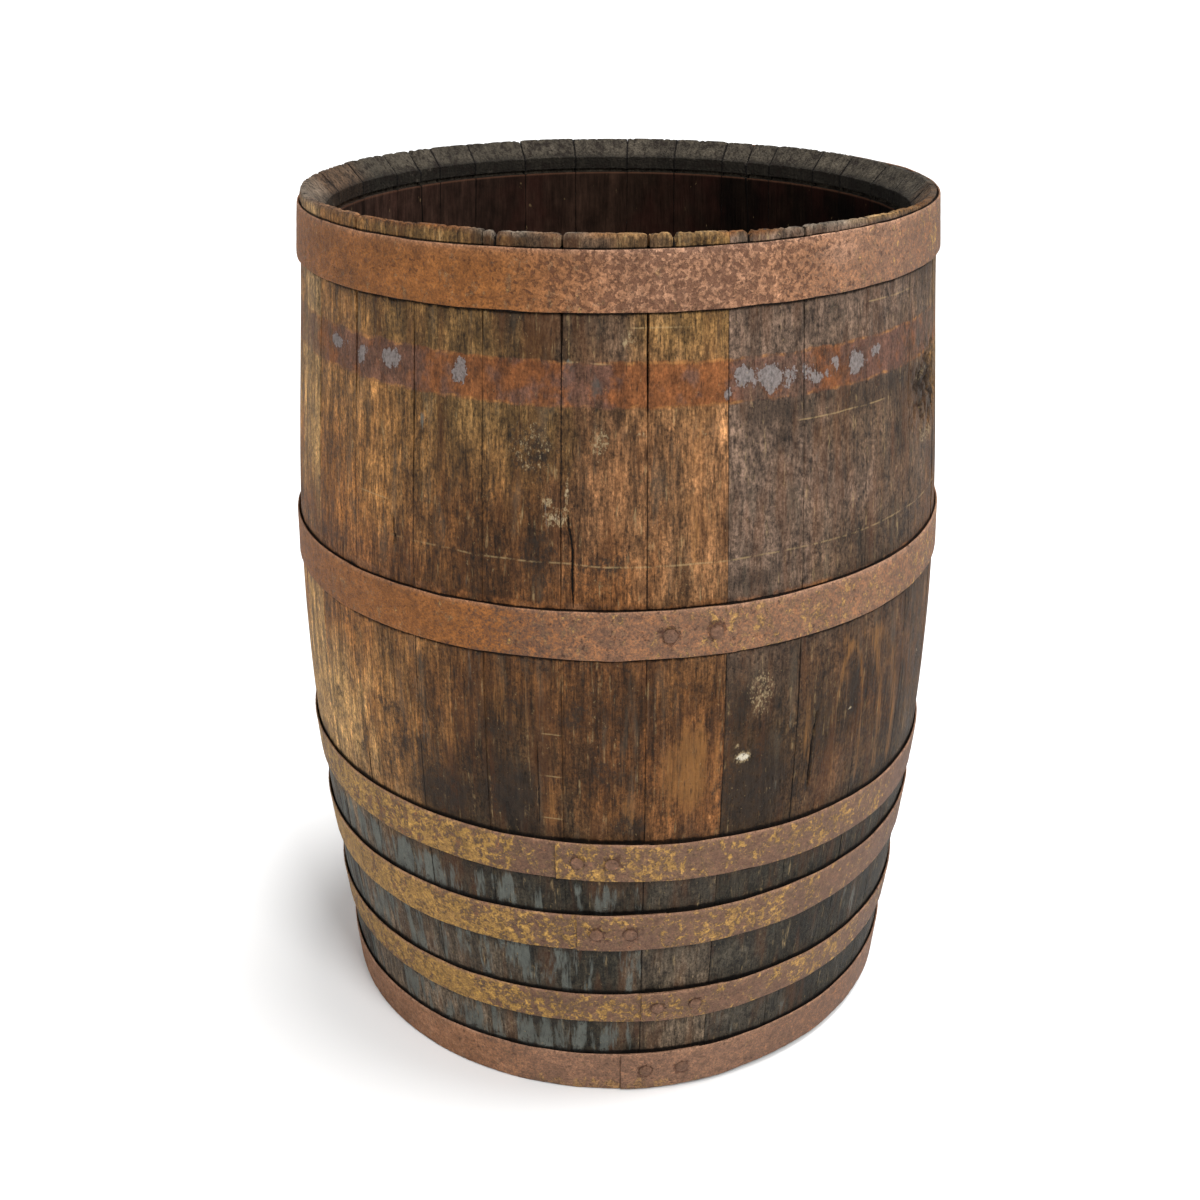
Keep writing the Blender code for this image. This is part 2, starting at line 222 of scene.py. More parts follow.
# The lost hoop's rust by angle: how orange it is, and how much of the wood it covers
BAND_HEAT = (
    (-180, 0.5, 0.6), (-120, 0.7, 0.8), (-75, 0.2, 0.4), (-62, 0.2, 0.5), (-57, 0.6, 0.6),
    (-50, 0.2, 0.7), (-38, 0.2, 0.9), (-28, 0.5, 0.9), (-23, 1.0, 1.0), (-18, 0.6, 0.9),
    (-9, 0.5, 0.9), (-5, 0.1, 0.6), (0, 0.7, 0.9), (7, 1.0, 1.0), (11, 0.6, 0.7),
    (15, 1.0, 1.0), (20, 0.2, 0.5), (30, 0.2, 0.5), (34, 0.8, 0.8), (40, 0.3, 0.6),
    (50, 0.1, 0.8), (58, 0.6, 0.5), (68, 0.3, 0.3), (100, 0.6, 0.8), (180, 0.5, 0.6),
)
SLATE = (
    (-7.6, 0.828, 1.1, 0.018, 1.0), (-31.0, 0.775, 1.3, 0.012, 0.4), (11.0, 0.817, 3.4, 0.01, 0.5),
    (-2.8, 0.82, 1.1, 0.01, 0.7),
)
OCHRE = (
    (-10.0, 0.392, 1.3, 0.02, 0.45), (11.0, 0.432, 5.5, 0.06, 0.75), (8.5, 0.47, 2.0, 0.03, 0.4),
    (2.0, 0.38, 1.4, 0.03, 0.5), (-17.5, 0.5, 2.5, 0.045, 0.5), (-14.0, 0.5, 0.5, 0.05, 0.5),
    (32.3, 0.44, 0.9, 0.07, 0.6), (11.0, 0.72, 5.5, 0.08, 0.35),
)
# Worn figure of flat-sawn oak: centre angle and height, half width in degrees, half height
FIGURE_LOOPS = (
    (41.5, 0.43, 3.4, 0.1),
    (41.5, 0.415, 8.8, 0.14),
    (42.0, 0.4, 13.5, 0.15),
)
FIGURE_STRENGTH = 0.6
# Cracks: angle and height of the lower end, of the upper end, and the width
CRACKS = (
    (-6.6, 0.606, -7.3, 0.705, 0.0016), (-19.2, 0.88, -19.0, 0.96, 0.0022),
    (8.6, 0.905, 8.5, 0.96, 0.0018), (20.4, 0.92, 20.1, 0.96, 0.0026),
    (-37.4, 0.64, -37.9, 0.672, 0.0012), (-12.2, 0.36, -12.4, 0.47, 0.0006),
    (33.4, 0.38, 33.8, 0.47, 0.0009), (148.5, 0.79, 149.5, 0.96, 0.002),
    (206.0, 0.1, 207.0, 0.33, 0.0014), (229.0, 0.7, 229.6, 0.96, 0.0018),
    (275.5, 0.38, 276.5, 0.54, 0.0012),
)
# Joints that stand open: angle, from height, to height, width
OPEN_JOINTS = (
    (-47.0, 0.765, 0.96, 0.003), (-33.5, 0.69, 0.86, 0.0013), (-8.5, 0.842, 0.96, 0.0032),
    (-8.5, 0.6, 0.7, 0.001), (4.5, 0.795, 0.96, 0.0026), (30.0, 0.87, 0.96, 0.0022),
    (71.0, 0.83, 0.96, 0.003), (-21.0, 0.845, 0.96, 0.0012), (111.5, 0.85, 0.96, 0.0028),
    (143.5, 0.78, 0.96, 0.0026), (202.0, 0.82, 0.96, 0.003), (237.0, 0.76, 0.96, 0.0024),
    (275.0, 0.84, 0.96, 0.0026),
)
JOINT_GAP = 0.0001

# Pale scratches round the barrel: from x, to x and height
SCRATCHES = (
    (0.01, 0.065, 0.8755), (0.235, 0.285, 0.876), (0.17, 0.26, 0.7775),
    (-0.045, -0.01, 0.8425), (-0.255, -0.225, 0.688), (-0.074, -0.055, 0.472),
    (-0.074, -0.055, 0.424), (-0.074, -0.055, 0.374),
)

# Splintered hollow where the wood has rotted: centre angle and height, half sizes, depth
ROT = (66.0, 0.765, 9.0, 0.045, 0.007)

# Tones of the sawn ends round the rim by angle, and how bright the bevel and the howel are beside
# the rim
END_TONES = (
    (-180, "flint"), (-120, "flint"), (-100, "smoke"), (-75, "silver"), (-50, "russet"), (-30, "auburn"),
    (-22, "ash"), (-12, "silver"), (-6, "chestnut"), (8, "khaki"), (16, "auburn"), (24, "umber"),
    (32, "silver"), (45, "khaki"), (60, "umber"), (90, "flint"), (180, "flint"),
)
BEVEL_SHADE = 1.1
HOWEL_SHADE = 0.35
# Colour of the inside by angle: lighter on the left, black on the right, partly with old wine and partly
# painted shade
INNER_TONES_AND_SHADE = (
    (-180, (41, 28, 21)), (-100, (52, 37, 31)), (0, (36, 24, 18)), (70, (20, 13, 9)),
    (110, (12, 7, 4)), (155, (18, 11, 7)), (180, (41, 28, 21)),
)
CROZE_EDGE = (112, 78, 60)

STAVE_COLUMNS = 36
EDGE_COLUMNS = (0.0, 0.0008, 0.002)
OUTER_ROW = 0.0048
INNER_ROWS = 44
HOOP_STATION = 0.5

# Tool that cuts the bung hole: radii of its ends and its length, centred on the bung
BUNG_HOLE_OUTER = 0.0297
BUNG_HOLE_INNER = 0.0234
BUNG_HOLE_DEPTH = 0.08


# ---- numbers and shapes
def noise(x, y, seed, octaves=1):
    """Smooth random values about -1 to 1 over a plane, one cell to a unit, each octave finer."""
    total = 0.0
    strength = 1.0
    for octave in range(octaves):
        total = total + strength * lattice(x * 2**octave, y * 2**octave, seed + 31 * octave)
        strength *= 0.5
    return total


def lattice(x, y, seed):
    """Random values at whole numbers, smoothly joined between them."""
    x, y = np.broadcast_arrays(np.asarray(x, float), np.asarray(y, float))
    left, below = np.floor(x).astype(np.int64), np.floor(y).astype(np.int64)
    across, up = x - left, y - below
    across, up = across**2 * (3 - 2 * across), up**2 * (3 - 2 * up)

    def corner(dx, dy):
        mixed = (left + dx) * 374761393 + (below + dy) * 668265263 + seed * 144269504
        mixed = (((mixed ^ (mixed >> 13)) & 0xFFFFFFFF) * 1274126177) & 0xFFFFFFFF
        return ((mixed ^ (mixed >> 16)) & 0xFFFF) / 32767.5 - 1

    low = corner(0, 0) * (1 - across) + corner(1, 0) * across
    high = corner(0, 1) * (1 - across) + corner(1, 1) * across
    return low * (1 - up) + high * up


def smooth(value, low, high):
    """0 below low, 1 above high, and an even curve between; low may be the larger."""
    t = np.clip((value - low) / (high - low), 0, 1)
    return t * t * (3 - 2 * t)


def outer_radius(z):
    """Radius of the staves' outer face: a quartic through the four driving radii."""
    u = z / HEIGHT - 0.5
    end_drop = BILGE_RADIUS - (TOP_RADIUS + BOTTOM_RADIUS) / 2
    quarter_drop = BILGE_RADIUS - QUARTER_RADIUS
    square = (16 * quarter_drop - end_drop) / 0.75
    fourth = 4 * square - 16 * end_drop
    skew = 4 * (TOP_RADIUS - BOTTOM_RADIUS)
    return BILGE_RADIUS - square * u**2 + skew * u**3 + fourth * u**4


def on_barrel(radius, angle, z):
    """Points at a radius, an angle and a height."""
    turn = np.radians(angle)
    radius, turn, z = np.broadcast_arrays(radius, turn, z)
    return np.stack([radius * np.sin(turn), -radius * np.cos(turn), z], -1)


def angle_between(angle, centre):
    """Signed difference of two angles in degrees, from -180 to 180."""
    return (angle - centre + 180) % 360 - 180


def to_linear(colour):
    """Scene colour of a daylight colour given from 0 to 255."""
    c = np.asarray(colour, float) / 255
    return np.where(c <= 0.04045, c / 12.92, ((c + 0.055) / 1.055) ** 2.4)


def rgba(colour):
    """The same, opaque."""
    return (*to_linear(colour), 1.0)


def loft(name, points, layers, face_kinds, materials):
    """Closed body from rows of section loops, with per-point layers and a material for each face.

    points is rows x loop x 3, layers maps a name to rows x loop x 3 or 4, and face_kinds gives
    the material index of the strip that starts at each loop point. The ends are capped.
    """
    rows, loop = points.shape[:2]
    index = np.arange(rows * loop).reshape(rows, loop)
    beside = np.roll(index, -1, 1)
    quads = np.stack([index[:-1], beside[:-1], beside[1:], index[1:]], -1).reshape(-1, 4)
    caps = [index[0][::-1].tolist(), index[-1].tolist()]
    mesh = bpy.data.meshes.new(name)
    mesh.from_pydata(points.reshape(-1, 3), [], quads.tolist() + caps)
    kinds = np.concatenate([np.tile(face_kinds, rows - 1), [face_kinds[0]] * 2])
    for made in materials:
        mesh.materials.append(made)
    mesh.polygons.foreach_set("material_index", kinds.astype(np.int32))
    for layer, values in layers.items():
        add_layer(mesh, layer, values.reshape(rows * loop, -1))
    mesh.update()
    mesh.shade_smooth()
    mesh.set_sharp_from_angle(angle=math.radians(40))
    made = bpy.data.objects.new(name, mesh)
    bpy.context.scene.collection.objects.link(made)
    return made


def add_layer(mesh, name, values):
    """Store three or four numbers for each point of a mesh, as a vector or a colour."""
    kind, field = {3: ("FLOAT_VECTOR", "vector"), 4: ("FLOAT_COLOR", "color")}[values.shape[1]]
    layer = mesh.attributes.new(name, kind, "POINT")
    layer.data.foreach_set(field, values.astype(np.float32).ravel())


# ---- node materials
class Shading:
    """A Principled material under construction, with a short call for each kind of node.

    A colour is either a node's output or a daylight colour given as a tuple.
    """

    def __init__(self, name, specular):
        self.material = bpy.data.materials.new(name)
        self.material.use_nodes = True
        self.tree = self.material.node_tree
        self.shader = self.tree.nodes["Principled BSDF"]
        self.shader.inputs["Specular IOR Level"].default_value = specular
        self.place = self.add("ShaderNodeTexCoord").outputs["Object"]

    def add(self, kind, values=(), **settings):
        """A new node with its settings, and its inputs linked or filled in."""
        node = self.tree.nodes.new(kind)
        for key, value in settings.items():
            setattr(node, key, value)
        for key, value in dict(values).items():
            if isinstance(value, bpy.types.NodeSocket):
                self.tree.links.new(value, node.inputs[key])
            else:
                node.inputs[key].default_value = value
        return node

    def layer(self, name, output="Vector"):
        """One output of a layer stored on the mesh."""
        return self.add("ShaderNodeAttribute", attribute_name=name).outputs[output]

    def split(self, vector):
        return self.add("ShaderNodeSeparateXYZ", {0: vector}).outputs

    def noise(self, across, up, detail, roughness=0.6, warp=0.0):
        """Noise from 0 to 1 with a mean of a half, in cells per metre round the barrel and up it."""
        values = {0: self.place, 1: (across, across, up)}
        place = self.add("ShaderNodeVectorMath", values, operation="MULTIPLY").outputs["Vector"]
        values = {"Vector": place, "Scale": 1.0, "Detail": detail}
        values.update({"Roughness": roughness, "Distortion": warp})
        raw = self.add("ShaderNodeTexNoise", values).outputs["Fac"]
        values = {"Value": raw, "From Min": 0.5 - NOISE_SPREAD, "From Max": 0.5 + NOISE_SPREAD}
        return self.add("ShaderNodeMapRange", values).outputs[0]

    def calc(self, operation, *values):
        return self.add("ShaderNodeMath", enumerate(values), operation=operation).outputs[0]

    def both(self, first, second):
        return self.calc("MULTIPLY", first, second)

    def plus(self, first, second):
        return self.calc("ADD", first, second)

    def minus(self, first, second):
        return self.calc("SUBTRACT", first, second)

    def off(self, first, second):
        return self.calc("ABSOLUTE", self.minus(first, second))

    def most(self, first, second):
        return self.calc("MAXIMUM", first, second)

    def step(self, value, low, high):
        """0 at low, 1 at high, and an even curve between; low may be the larger."""
        values = {"Value": value, "From Min": low, "From Max": high}
        return self.add("ShaderNodeMapRange", values, interpolation_type="SMOOTHSTEP").outputs[0]

    def spots(self, across, up, detail, low, high):
        """The peaks of a noise: none at its low limit, full at its high one."""
        return self.step(self.noise(across, up, detail), low, high)

    def window(self, value, low, high, soft):
        """1 between two limits, with soft edges."""
        rise = self.step(value, low - soft, low + soft)
        return self.both(rise, self.step(value, high + soft, high - soft))

    def stirred(self, amount, *noises):
        """An amount with each noise added at its strength, its mean kept."""
        for noise, strength in noises:
            amount = self.plus(amount, self.calc("MULTIPLY_ADD", noise, strength, -strength / 2))
        return amount

    def blend(self, share, first, second):
        first, second = (rgba(c) if isinstance(c, tuple) else c for c in (first, second))
        values = {0: share, 6: first, 7: second}
        return self.add("ShaderNodeMix", values, data_type="RGBA").outputs[2]

    def stain(self, colour, paint, share, strength):
        """The colour painted over by a share times a strength."""
        return self.blend(self.both(share, strength), colour, paint)

    def vary(self, colour, *noises):
        """The colour darker where a noise is low and lighter where it is high, by its spread."""
        if isinstance(colour, tuple):
            colour = rgba(colour)[:3]
        for noise, spread in noises:
            values = {"Value": noise, "To Min": 1 - spread, "To Max": 1 + spread}
            factor = self.add("ShaderNodeMapRange", values).outputs[0]
            values = {0: colour, "Scale": factor}
            colour = self.add("ShaderNodeVectorMath", values, operation="SCALE").outputs[0]
        return colour

    def bump(self, distance, *heights):
        """Relief that adds up the heights, each times its weight."""
        total = 0.0
        for height, weight in heights:
            total = self.calc("MULTIPLY_ADD", height, weight, total)
        normal = self.add("ShaderNodeBump", {"Height": total, "Distance": distance}).outputs[0]
        self.tree.links.new(normal, self.shader.inputs["Normal"])

    def finish(self, colour, noise, spread, roughness):
        """The finished material; the noise adds up to a spread to its roughness."""
        rough = self.calc("MULTIPLY_ADD", noise, spread, roughness)
        self.tree.links.new(colour, self.shader.inputs["Base Color"])
        self.tree.links.new(rough, self.shader.inputs["Roughness"])
        return self.material


def line_mask(mat, ragged, seam_strength):
    """How far a point is inside a crack or a joint, from the lines layer."""
    side, width, joint = mat.split(mat.layer("lines"))
    off = mat.calc("ABSOLUTE", mat.stirred(side, (ragged, 0.0016)))
    crack = mat.step(mat.minus(off, width), 0.0004, -0.0003)
    seam = mat.step(mat.stirred(joint, (ragged, RAGGED_JOINT)), 0.0006, 0.0001)
    return mat.most(crack, mat.both(seam, seam_strength))


def weathered_oak():
    """Outer face of the staves: toned grain with mould, chalk, slate, rust and open lines, and painted
    shade and shadow along the hoops' edges.
    """
    mat = Shading("weathered_oak", OAK_SPECULAR)
    cloud = mat.noise(22, 12, 5, 0.65)
    streak = mat.noise(105, 5, 4)
    fibre = mat.noise(400, 30, 4, 0.7)
    mottle = mat.noise(80, 52, 5, 0.72)
    crumbs = mat.noise(170, 130, 5, 0.72)
    grit = mat.noise(400, 260, 4, 0.72)

    tone = mat.layer("tone", "Color")
    grained = mat.vary(tone, (streak, 0.6), (fibre, 0.84), (mottle, 0.7))
    gritty = mat.vary(tone, (crumbs, 0.88), (mottle, 0.7), (fibre, 0.5))
    colour = mat.blend(mat.layer("tone", "Alpha"), grained, gritty)
    colour = mat.vary(colour, (cloud, 0.56), (grit, 0.82))
    black = mat.step(mat.both(crumbs, mottle), 0.26, 0.5)
    black = mat.both(mat.spots(15, 13, 4, 0.45, 0.8), black)
    colour = mat.stain(colour, MOULD_AND_SHADE_STAIN, black, 0.65)
    colour = mat.stain(colour, WARM_STAIN, mat.spots(46, 6, 3, 0.45, 0.95), 0.3)
    colour = mat.stain(colour, GREY_STAIN, mat.spots(70, 8, 4, 0.6, 0.95), 0.3)
    pale = mat.both(mat.spots(260, 14, 4, 0.66, 0.98), mat.step(mottle, 0.35, 0.8))
    colour = mat.stain(colour, PALE_FIBRE, pale, 0.6)

    mould_and_shade, chalk, slate = mat.split(mat.layer("marks", "Color"))
    amount = mat.stirred(mat.layer("marks", "Alpha"), (streak, 0.7), (fibre, 0.5))
    colour = mat.stain(colour, OCHRE_STAIN, mat.step(amount, 0.3, 0.95), 0.8)
    amount = mat.stirred(slate, (mat.noise(70, 9, 4), 1.1), (fibre, 0.3))
    grey = mat.vary(SLATE_STAIN, (mottle, 0.35))
    colour = mat.stain(colour, grey, mat.step(amount, 0.45, 0.75), 0.85)
    # The mould channel also holds painted shade along the hoops' edges
    amount = mat.stirred(mould_and_shade, (crumbs, 1.2), (grit, 1.0))
    soot_and_shade = mat.vary(MOULD_AND_SHADE_STAIN, (mottle, 0.5))
    colour = mat.stain(colour, soot_and_shade, mat.step(amount, 0.35, 0.9), 0.85)

    flake, heat, cover = mat.split(mat.layer("band"))
    share, edges = rust_share(mat, cover, mat.both(mat.plus(cloud, mottle), 0.5))
    heat = mat.step(mat.stirred(heat, (mat.noise(50, 40, 5), 1.2)), 0.25, 0.75)
    rust = mat.blend(edges, mat.blend(heat, DULL_RUST, BAND_RUST), EDGE_RUST)
    rust = mat.vary(rust, (streak, 0.25), (mottle, 0.6), (grit, 0.55))
    colour = mat.blend(share, colour, rust)
    amount = mat.stirred(flake, (mottle, 1.3), (grit, 0.4))
    amount = mat.both(amount, mat.step(flake, 0.02, 0.2))
    colour = mat.stain(colour, PIT, mat.step(amount, 0.34, 0.44), 0.5)
    flakes = mat.vary(FLAKE, (grit, 0.55))
    colour = mat.stain(colour, flakes, mat.step(amount, 0.46, 0.56), 0.85)
    colour = mat.stain(colour, PALE_FIBRE, scratch_mask(mat, mottle), 0.5)

    speckle = mat.noise(400, 240, 4, 0.7)
    amount = mat.stirred(mat.both(chalk, 0.75), (speckle, 1.1), (mottle, 0.3))
    white = mat.blend(mat.step(chalk, 0.95, 1.15), CHALK_STAIN, WHITE_SPLASH)
    colour = mat.stain(colour, white, mat.step(amount, 0.5, 0.95), 0.85)
    colour = mat.stain(colour, PALE_FIBRE, mat.spots(360, 230, 2, 0.96, 0.99), 0.3)
    pores = mat.both(mat.spots(520, 36, 3, 0.8, 0.98), 0.65)
    colour = mat.blend(pores, colour, PORE)

    lines = line_mask(mat, grit, mat.both(mat.spots(7, 5, 4, 0.4, 0.8), 0.75))
    # Joints and cracks, and dirt with painted shadow along the hoops' edges, all in near black
    gaps = mat.most(lines, edge_dirt_and_shadow(mat, mottle))
    colour = mat.blend(gaps, colour, GAP_AND_SHADOW)
    mat.bump(0.0018, (fibre, 1.0), (grit, 0.6), (mottle, 0.6), (pores, -0.8), (gaps, -2.5))
    return mat.finish(colour, mottle, 0.25, 0.55)


def scratch_mask(mat, mottle):
    """The line scribed above the bilge hoop, and a few pale scratches."""
    x, _, z = mat.split(mat.place)
    height = mat.stirred(z, (mat.noise(9, 1, 2), RAGGED_HEIGHT))
    off = mat.off(height, SCRIBE_HEIGHT)
    mask = mat.both(mat.step(off, 0.0013, 0.0004), mat.step(mottle, 0.3, 0.65))
    mask = mat.both(mask, mat.step(x, -0.3, -0.1))
    for start, end, level in SCRATCHES:
        off = mat.off(height, level)
        line = mat.both(mat.step(off, 0.0011, 0.0003), mat.window(x, start, end, 0.006))
        mask = mat.most(mask, mat.both(line, mat.step(mottle, 0.2, 0.6)))
    return mask


def edge_dirt_and_shadow(mat, mottle):
    """Dirt and painted shadow against the hoops' edges: most at an edge, none a few millimetres away."""
    x, _, z = mat.split(mat.place)
    nearest = 9.0
    for hoop in HOOPS.values():
        under, over = UPPER_DIRT_AND_SHADOW if hoop.low > HEIGHT / 2 else LOWER_DIRT_AND_SHADOW
        level = mat.minus(z, mat.both(x, hoop.rise / BILGE_RADIUS))
        above = mat.both(mat.minus(level, hoop.high), 1 / over)
        below = mat.both(mat.minus(hoop.low, level), 1 / under)
        nearest = mat.calc("MINIMUM", nearest, mat.most(above, below))
    return mat.both(mat.step(mat.stirred(nearest, (mottle, 0.8)), 1.1, 0.2), 0.85)


def rust_share(mat, cover, patches):
    """Rust on a stave and its bright edges: the lost hoop's band, and a line at the bilge."""
    z = mat.split(mat.place)[2]
    place = mat.stirred(z, (mat.noise(60, 40, 4), RAGGED_HEIGHT))
    band = mat.window(place, GHOST_LOW, GHOST_HIGH, 0.0012)
    worn = mat.step(mat.plus(cover, mat.both(patches, 1.2)), 0.75, 1.35)
    band = mat.both(band, mat.calc("MULTIPLY_ADD", worn, 0.75, 0.12))
    edges = mat.most(
        mat.window(place, GHOST_LOW - 0.0005, GHOST_LOW + 0.0022, 0.001),
        mat.window(place, GHOST_HIGH - 0.0026, GHOST_HIGH + 0.0005, 0.001),
    )
    edges = mat.both(edges, mat.both(mat.step(patches, 0.35, 0.7), 0.8))
    bilge = mat.window(place, BILGE_LINE_LOW, BILGE_LINE_HIGH, 0.002)
    bilge = mat.both(bilge, mat.step(patches, 0.3, 0.65))
    edges = mat.most(edges, mat.both(bilge, 0.4))
    return mat.most(mat.most(band, edges), mat.both(bilge, 0.75)), edges


def end_oak():
    """Sawn ends, chime bevel and howel band: grey end grain with radial splits."""
    mat = Shading("end_grain_oak", OAK_SPECULAR)
    coarse = mat.noise(60, 60, 5, 0.68)
    split = mat.noise(260, 60, 4, 0.68)
    grit = mat.noise(400, 400, 3, 0.68)
    tone = mat.layer("tone", "Color")
    colour = mat.vary(tone, (coarse, 0.55), (split, 0.55), (grit, 0.45))
    pale = mat.both(mat.spots(70, 90, 5, 0.74, 0.98), mat.step(grit, 0.2, 0.8))
    colour = mat.stain(colour, PALE_END, pale, 0.45)
    colour = mat.stain(colour, PORE, mat.step(mat.both(split, coarse), 0.22, 0.08), 0.7)
    joint = mat.split(mat.layer("lines"))[2]
    joint = mat.step(mat.stirred(joint, (grit, RAGGED_JOINT)), 0.0013, 0.0005)
    gaps = mat.most(line_mask(mat, grit, 0.0), mat.both(joint, 0.9))
    colour = mat.blend(gaps, colour, GAP_AND_SHADOW)
    mat.bump(0.0013, (split, 1.0), (grit, 1.0), (gaps, -2.0))
    return mat.finish(colour, grit, 0.2, 0.7)


def inner_oak():
    """Inside of the barrel: dark, wine-stained and striped down the grain."""
    mat = Shading("wine_stained_oak", INNER_SPECULAR)
    streak = mat.noise(90, 2.2, 4)
    fibre = mat.noise(400, 13, 3)
    mottle = mat.noise(60, 40, 5, 0.68)
    tone = mat.layer("tone", "Color")
    colour = mat.vary(tone, (streak, 0.5), (fibre, 0.35), (mottle, 0.45))
    colour = mat.stain(colour, WINE_STAIN, mat.spots(14, 8, 3, 0.4, 0.9), 0.25)
    colour = mat.stain(colour, PALE_FIBRE, mat.spots(120, 60, 4, 0.9, 0.99), 0.25)
    top = HEIGHT - CROZE_START - CROZE_WIDTH
    edge = mat.step(mat.split(mat.place)[2], top - 0.0035, top - 0.0015)
    colour = mat.stain(colour, CROZE_EDGE, edge, 0.45)
    gaps = line_mask(mat, fibre, 0.9)
    colour = mat.blend(gaps, colour, GAP_AND_SHADOW)
    mat.bump(0.0009, (fibre, 1.0), (mottle, 1.0), (gaps, -2.0))
    return mat.finish(colour, fibre, 0.2, 0.65)


def board_oak(name, tone, stain):
    """Plain oak for the head, its dowels and the bung."""
    mat = Shading(name, BOARD_SPECULAR)
    streak = mat.noise(60, 40, 4)
    fibre = mat.noise(380, 260, 3)
    colour = mat.vary(tone, (streak, 0.4), (fibre, 0.35))
    colour = mat.stain(colour, stain, mat.spots(18, 18, 3, 0.35, 0.85), 0.6)
    mat.bump(0.0009, (fibre, 1.0), (streak, 1.0))
    return mat.finish(colour, fibre, 0.2, 0.65)


def rusted_iron():
    """Hoop iron: orange or purple-brown rust with ochre scale, pits and pale bloom; the bloom also
    paints sheen and highlights, the pits also paint shade.
    """
    mat = Shading("rusted_iron", IRON_SPECULAR)
    orange, ochre, pits_and_shade = mat.split(mat.layer("rust", "Color"))
    cloud = mat.noise(26, 34, 4)
    blotch = mat.noise(110, 120, 5, 0.68)
    grain = mat.noise(420, 420, 4, 0.72)
    holes = mat.noise(200, 200, 3, 0.65)
    smudge = mat.noise(75, 30, 4, 0.65)
    patch = mat.noise(150, 150, 5, 0.66, 0.4)

    base = mat.blend(cloud, PURPLE_RUST, DARK_RUST)
    warm = mat.blend(blotch, RED_RUST, ORANGE_RUST)
    amount = mat.stirred(orange, (blotch, 0.5), (grain, 0.6))
    colour = mat.blend(mat.step(amount, 0.25, 0.8), base, warm)
    amount = mat.stirred(ochre, (patch, 0.9), (smudge, 0.7))
    colour = mat.stain(colour, DRAB_OCHRE, mat.step(amount, 0.3, 0.62), 0.6)
    scale = mat.step(mat.stirred(amount, (grain, 0.35)), 0.56, 0.78)
    gold = mat.blend(mat.step(patch, 0.35, 0.95), DEEP_OCHRE, PALE_OCHRE)
    colour = mat.stain(colour, gold, scale, 0.85)
    uneven = mat.calc("MULTIPLY_ADD", blotch, 0.5, 0.75)
    # Bloom, and painted sheen and highlights where the light falls on the hoops
    colour = mat.stain(colour, BLOOM_AND_SHEEN, mat.layer("rust", "Alpha"), uneven)
    colour = mat.vary(colour, (grain, 0.56), (blotch, 0.26), (cloud, 0.2))
    # Pits, with painted shadow round the rivet heads and painted shade at the lower hoops' far right
    pitted = mat.step(mat.calc("MULTIPLY_ADD", pits_and_shade, 0.45, holes), 0.86, 1.12)
    colour = mat.stain(colour, PIT, pitted, 0.6)
    mat.bump(0.002, (grain, 0.9), (scale, 0.35), (blotch, 0.6), (pitted, -0.9))
    return mat.finish(colour, grain, 0.25, 0.5)


# ---- marks on the staves
def blobs(marks, angle, z):
    """Strength of a list of soft oval marks at each point."""
    total = np.zeros(np.broadcast(angle, z).shape)
    for centre, height, half_width, half_height, strength in marks:
        reach = (angle_between(angle, centre) / half_width) ** 2 + ((z - height) / half_height) ** 2
        total = np.maximum(total, strength * smooth(np.sqrt(reach), 1.45, 0.35))
    return total


def figure(angle, z):
    """Pale loops of worn flat-sawn grain, open at the foot."""
    total = np.zeros(np.broadcast(angle, z).shape)
    for centre, height, half_width, half_height in FIGURE_LOOPS:
        side = angle_between(angle, centre) / half_width
        ring = np.sqrt(side**2 + (np.maximum(z - height, 0) / half_height) ** 2)
        total = np.maximum(total, smooth(np.abs(ring - 1), 0.16, 0.03))
    inside = smooth(z, 0.345, 0.37) * smooth(z, 0.555, 0.53)
    return total * inside * smooth(angle_between(angle, 36.0), 0, 2) * FIGURE_STRENGTH


def hoop_dirt_and_shade(angle, z):
    """Dark dirt and painted shade along the hoops' edges, but not at the rim."""
    total = np.zeros(np.broadcast(angle, z).shape)
    for hoop in HOOPS.values():
        lift = hoop.rise * np.sin(np.radians(angle))
        off = np.abs(z - hoop.low - lift)
        if hoop.high < HEIGHT - CHIME_HEIGHT:
            off = np.minimum(off, np.abs(z - hoop.high - lift))
        total = np.maximum(total, smooth(off, 0.014, 0.001))
    return total


def stave_marks(angle, z):
    """The marks layer: mould with painted shade along the hoops' edges, chalk, slate and ochre."""
    foot = smooth(z, 0.305, 0.285)
    left = smooth(angle_between(angle, 4.5), 0.4, -0.4) * smooth(angle_between(angle, -170), 0, 40)
    # Mould, with dirt and painted shade along the hoops' edges
    mould_and_shade = np.maximum(blobs(MOULD, angle, z), 0.45 * hoop_dirt_and_shade(angle, z))
    mould_and_shade = mould_and_shade + 0.12 * foot + 0.2 * smooth(z, HEIGHT - 0.009, HEIGHT - 0.003)
    slate = np.maximum(blobs(SLATE, angle, z), foot * (0.12 + 0.4 * left))
    ochre = np.maximum(blobs(OCHRE, angle, z), figure(angle, z))
    return np.stack([mould_and_shade, blobs(CHALK, angle, z), slate, ochre], -1)


def tone_names(node, number):
    """Tones of a stave from neck to foot; a stave with none listed borrows another's."""
    if node in STAVE_TONES:
        return STAVE_TONES[node].split()
    lists = [STAVE_TONES[name] for name in sorted(STAVE_TONES)]
    return lists[(number * 7) % len(lists)].split()


